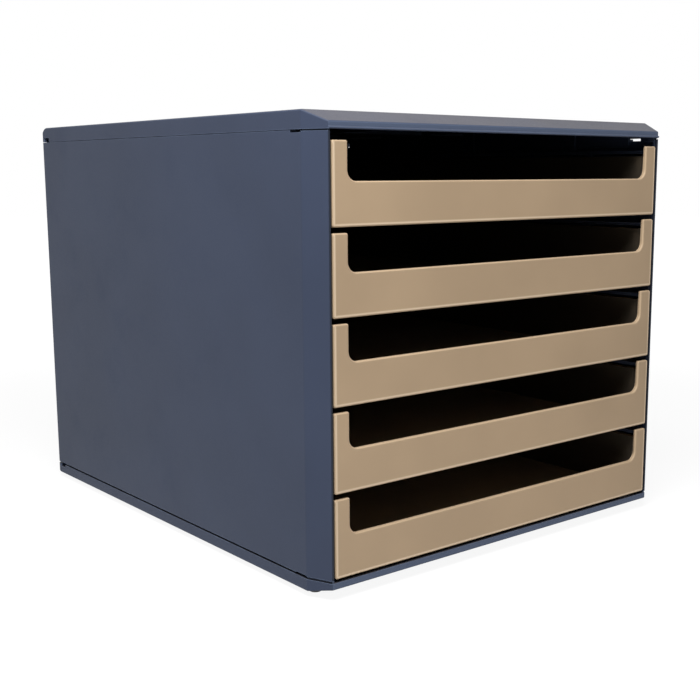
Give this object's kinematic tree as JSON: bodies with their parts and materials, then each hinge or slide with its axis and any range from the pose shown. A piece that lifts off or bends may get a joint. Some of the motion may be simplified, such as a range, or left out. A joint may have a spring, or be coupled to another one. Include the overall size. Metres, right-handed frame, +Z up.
{
  "type": "drawer box",
  "caption": "Desktop drawer box of moulded plastic: a snapped-together casing on low feet with open-fronted sliding trays, each with a wide finger cut-out.",
  "frame": {"origin": "on the desk, under the middle of the box", "axes": "+X to the right seen from the front, +Y towards the back, +Z up; the drawers open towards -Y"},
  "size_m": [0.275, 0.332, 0.2542],
  "materials": {
    "casing_plastic": "dark blue-grey moulded plastic, fine satin texture",
    "drawer_plastic": "beige moulded plastic, fine satin texture",
    "foot_rubber": "grey soft rubber"
  },
  "bodies": {
    "casing": {"lid": "casing_plastic", "base": "casing_plastic", "left_side": "casing_plastic", "right_side": "casing_plastic", "back_panel": "casing_plastic", "foot_front_left": "foot_rubber", "foot_front_right": "foot_rubber", "foot_back_left": "foot_rubber", "foot_back_right": "foot_rubber"},
    "sliding_drawer_1": {"drawer_1": "drawer_plastic"},
    "sliding_drawer_2": {"drawer_2": "drawer_plastic"},
    "sliding_drawer_3": {"drawer_3": "drawer_plastic"},
    "sliding_drawer_4": {"drawer_4": "drawer_plastic"},
    "sliding_drawer_5": {"drawer_5": "drawer_plastic"}
  },
  "joints": [
    {"name": "drawer_1_slide", "type": "slide", "parent": "casing", "child": "sliding_drawer_1", "axis": [0, -1, 0], "range_m": [0, 0.255]},
    {"name": "drawer_2_slide", "type": "slide", "parent": "casing", "child": "sliding_drawer_2", "axis": [0, -1, 0], "range_m": [0, 0.255]},
    {"name": "drawer_3_slide", "type": "slide", "parent": "casing", "child": "sliding_drawer_3", "axis": [0, -1, 0], "range_m": [0, 0.255]},
    {"name": "drawer_4_slide", "type": "slide", "parent": "casing", "child": "sliding_drawer_4", "axis": [0, -1, 0], "range_m": [0, 0.255]},
    {"name": "drawer_5_slide", "type": "slide", "parent": "casing", "child": "sliding_drawer_5", "axis": [0, -1, 0], "range_m": [0, 0.255]}
  ]
}
